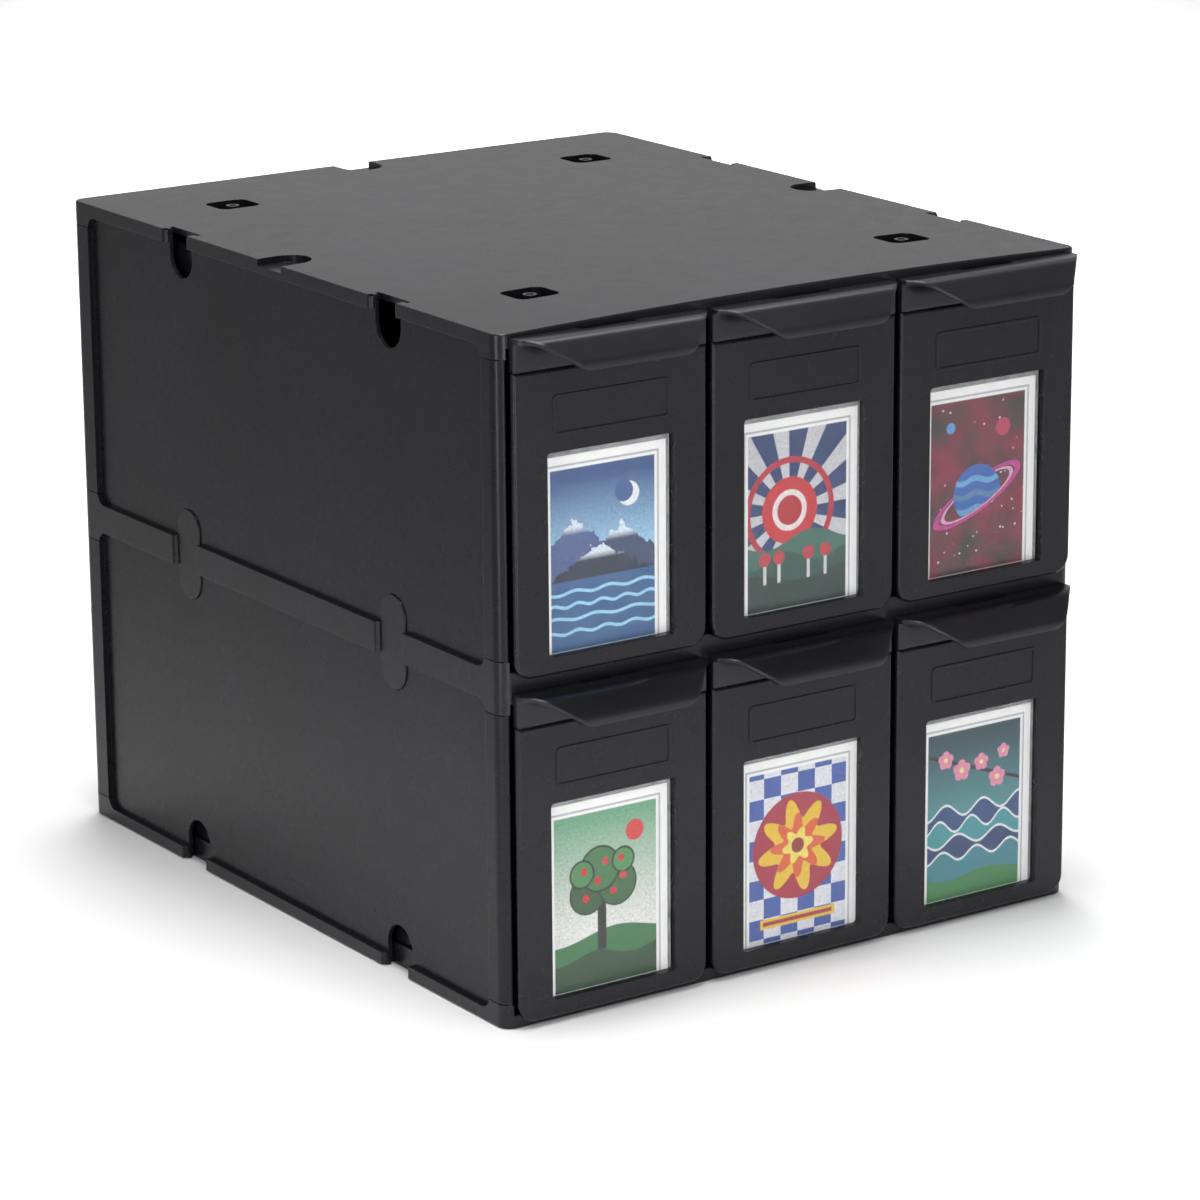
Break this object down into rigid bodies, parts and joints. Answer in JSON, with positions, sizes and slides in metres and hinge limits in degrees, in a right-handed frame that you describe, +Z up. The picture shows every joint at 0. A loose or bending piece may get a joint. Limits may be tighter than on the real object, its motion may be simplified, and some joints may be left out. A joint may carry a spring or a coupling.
{
  "type": "trading card drawer box",
  "caption": "Stackable black plastic cabinet for trading cards, with windowed drawers in columns and tiers, hooded pulls and clip notches on its sides.",
  "frame": {"origin": "middle of the cabinet's footprint, on the face it stands on", "axes": "+X right across the front, +Y towards the back, +Z up; the drawers open along -Y"},
  "size_m": [0.303, 0.385, 0.3002],
  "materials": {
    "plate_plastic": "satin black moulded plastic",
    "side_plastic": "satin black moulded plastic",
    "inner_plastic": "satin black moulded plastic",
    "clip_plastic": "satin black moulded plastic",
    "tray_plastic": "satin black moulded plastic",
    "bezel_plastic": "satin black moulded plastic",
    "card_lower_left": "printed coated card with a white border",
    "card_lower_centre": "printed coated card with a white border",
    "card_lower_right": "printed coated card with a white border",
    "card_upper_left": "printed coated card with a white border",
    "card_upper_centre": "printed coated card with a white border",
    "card_upper_right": "printed coated card with a white border"
  },
  "bodies": {
    "cabinet": {"bottom_plate": "plate_plastic", "middle_plate": "plate_plastic", "top_plate": "plate_plastic", "back_panel_lower": "inner_plastic", "side_panel_lower_left": "side_plastic", "divider_lower_left": "inner_plastic", "side_panel_lower_right": "side_plastic", "divider_lower_right": "inner_plastic", "back_panel_upper": "inner_plastic", "side_panel_upper_left": "side_plastic", "divider_upper_left": "inner_plastic", "side_panel_upper_right": "side_plastic", "divider_upper_right": "inner_plastic", "clip_left_front": "clip_plastic", "clip_left_rear": "clip_plastic", "clip_right_front": "clip_plastic", "clip_right_rear": "clip_plastic"},
    "drawer_lower_left": {"tray_lower_left": "tray_plastic", "bezel_lower_left": "bezel_plastic", "card_lower_left": "card_lower_left"},
    "drawer_lower_centre": {"tray_lower_centre": "tray_plastic", "bezel_lower_centre": "bezel_plastic", "card_lower_centre": "card_lower_centre"},
    "drawer_lower_right": {"tray_lower_right": "tray_plastic", "bezel_lower_right": "bezel_plastic", "card_lower_right": "card_lower_right"},
    "drawer_upper_left": {"tray_upper_left": "tray_plastic", "bezel_upper_left": "bezel_plastic", "card_upper_left": "card_upper_left"},
    "drawer_upper_centre": {"tray_upper_centre": "tray_plastic", "bezel_upper_centre": "bezel_plastic", "card_upper_centre": "card_upper_centre"},
    "drawer_upper_right": {"tray_upper_right": "tray_plastic", "bezel_upper_right": "bezel_plastic", "card_upper_right": "card_upper_right"}
  },
  "joints": [
    {"name": "drawer_lower_left_slide", "type": "slide", "parent": "cabinet", "child": "drawer_lower_left", "axis": [0, -1, 0], "range_m": [0, 0.285]},
    {"name": "drawer_lower_centre_slide", "type": "slide", "parent": "cabinet", "child": "drawer_lower_centre", "axis": [0, -1, 0], "range_m": [0, 0.285]},
    {"name": "drawer_lower_right_slide", "type": "slide", "parent": "cabinet", "child": "drawer_lower_right", "axis": [0, -1, 0], "range_m": [0, 0.285]},
    {"name": "drawer_upper_left_slide", "type": "slide", "parent": "cabinet", "child": "drawer_upper_left", "axis": [0, -1, 0], "range_m": [0, 0.285]},
    {"name": "drawer_upper_centre_slide", "type": "slide", "parent": "cabinet", "child": "drawer_upper_centre", "axis": [0, -1, 0], "range_m": [0, 0.285]},
    {"name": "drawer_upper_right_slide", "type": "slide", "parent": "cabinet", "child": "drawer_upper_right", "axis": [0, -1, 0], "range_m": [0, 0.285]}
  ]
}
